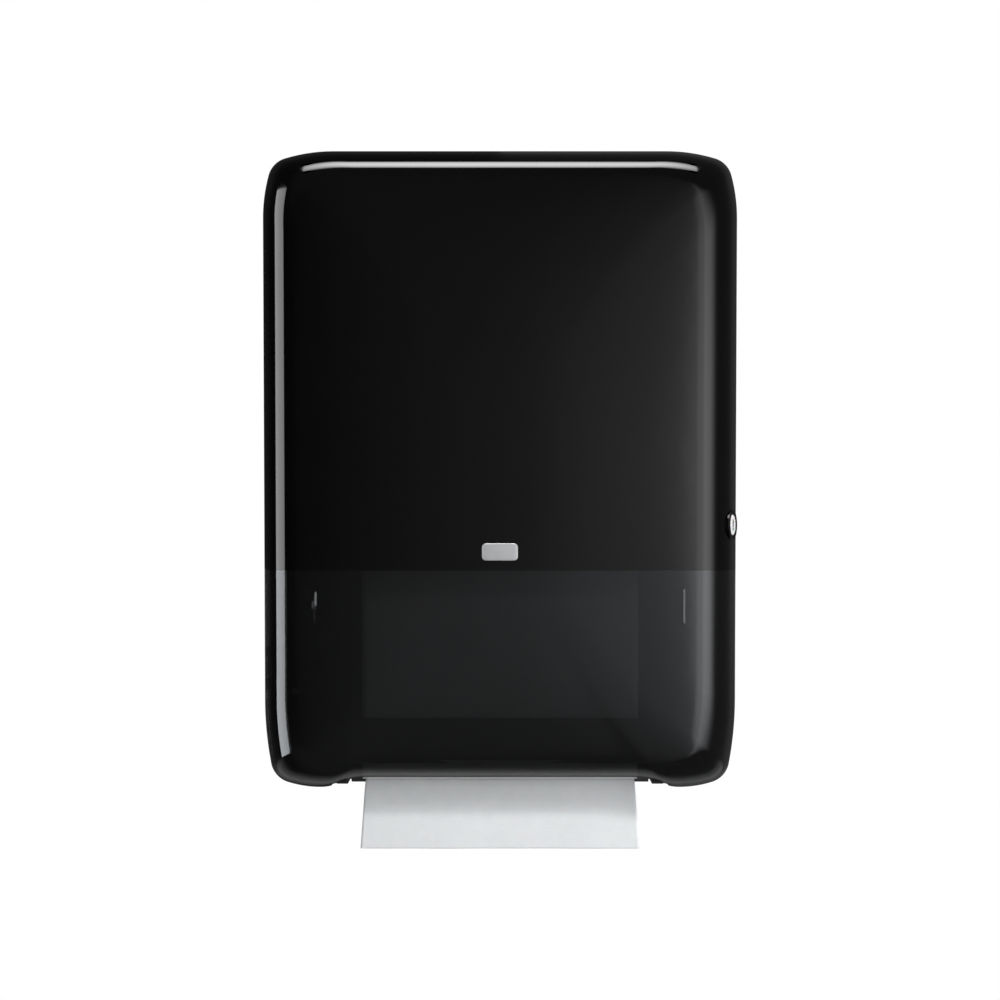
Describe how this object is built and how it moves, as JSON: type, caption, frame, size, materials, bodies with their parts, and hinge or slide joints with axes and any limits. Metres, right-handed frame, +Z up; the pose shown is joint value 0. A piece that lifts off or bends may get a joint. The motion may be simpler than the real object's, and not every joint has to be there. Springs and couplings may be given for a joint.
{
  "type": "hand towel dispenser",
  "caption": "Wall-mounted folded hand towel dispenser with a black hinged cover, smoked lower window, key lock, and a towel fed over a guide roller to a nip and out below.",
  "frame": {"origin": "centre of the four wall-screw holes, on the flat back face that lies against the wall", "axes": "+X to the right as seen from the front, +Y into the wall, +Z up"},
  "size_m": [0.37, 0.1019, 0.537],
  "materials": {
    "shell_plastic": "polished black moulding",
    "smoked_window": "polished smoke-tinted clear moulding",
    "housing_plastic": "fine moulded texture, black",
    "frame_plastic": "satin dark grey moulding",
    "steel": "bright drawn bar",
    "bush_plastic": "natural acetal",
    "roller_plastic": "smooth grey tube",
    "ring_rubber": "matt soft rubber",
    "towel_paper": "soft white tissue",
    "badge_foil": "satin silver",
    "lock_white": "white moulding",
    "lock_black": "black moulding"
  },
  "bodies": {
    "housing": {"rear_housing": "housing_plastic", "hinge_pin_upper": "steel", "hinge_pin_lower": "steel", "lock_catch": "frame_plastic", "magazine_left_wall": "frame_plastic", "magazine_right_wall": "frame_plastic", "magazine_floor": "frame_plastic", "front_frame": "frame_plastic", "frame_clip_left": "frame_plastic", "frame_clip_right": "frame_plastic", "frame_screws": "steel", "towel_bundle_1": "towel_paper", "towel_bundle_2": "towel_paper", "towel_bundle_3": "towel_paper", "towel_bundle_4": "towel_paper", "towel_bundle_5": "towel_paper", "towel_web": "towel_paper", "hanging_towel": "towel_paper", "guide_axle": "steel", "guide_bracket_left": "frame_plastic", "guide_bracket_right": "frame_plastic", "bearing_block_left": "frame_plastic", "bearing_block_right": "frame_plastic", "roller_bush_left": "bush_plastic", "roller_bush_right": "bush_plastic", "carriage_pivot": "steel", "pressure_springs": "steel", "roller_guard": "frame_plastic", "outlet_plate": "frame_plastic"},
    "cover": {"cover_shell": "shell_plastic", "cover_window": "smoked_window", "badge": "badge_foil", "lock_ring": "lock_black"},
    "lock": {"lock_barrel": "lock_black", "lock_disc": "lock_white", "lock_cam": "steel", "lock_cam_screw": "steel"},
    "guide_roller": {"guide_roller_tube": "roller_plastic", "guide_cap_left": "bush_plastic", "guide_cap_right": "bush_plastic"},
    "front_roller": {"front_roller_shaft": "roller_plastic", "front_roller_rings": "ring_rubber"},
    "rear_roller": {"rear_roller_shaft": "roller_plastic", "rear_roller_rings": "ring_rubber"},
    "carriage": {"pressure_carriage": "frame_plastic"}
  },
  "joints": [
    {"name": "cover_hinge", "type": "hinge", "parent": "housing", "child": "cover", "pos_m": [-0.1816, -0.0243, 0], "axis": [0, 0, -1], "range_deg": [0, 110]},
    {"name": "lock_turn", "type": "hinge", "parent": "cover", "child": "lock", "pos_m": [0.1767, -0.07873, -0.0428], "axis": [0.9397, -0.342, 0], "range_deg": [0, 90]},
    {"name": "guide_roller_spin", "type": "hinge", "parent": "housing", "child": "guide_roller", "pos_m": [0, -0.0745, 0.1987], "axis": [1, 0, 0], "continuous": true},
    {"name": "front_roller_spin", "type": "hinge", "parent": "housing", "child": "front_roller", "pos_m": [0, -0.0806, -0.2157], "axis": [1, 0, 0], "continuous": true},
    {"name": "carriage_tilt", "type": "hinge", "parent": "housing", "child": "carriage", "pos_m": [0, -0.058, -0.2017], "axis": [1, 0, 0], "range_deg": [0, 6], "stiffness_Nm_per_rad": 0.4, "springref_deg": -6.88, "deforming": ["pressure_springs"]},
    {"name": "rear_roller_spin", "type": "hinge", "parent": "carriage", "child": "rear_roller", "pos_m": [0, -0.0674, -0.2157], "axis": [1, 0, 0], "continuous": true}
  ]
}
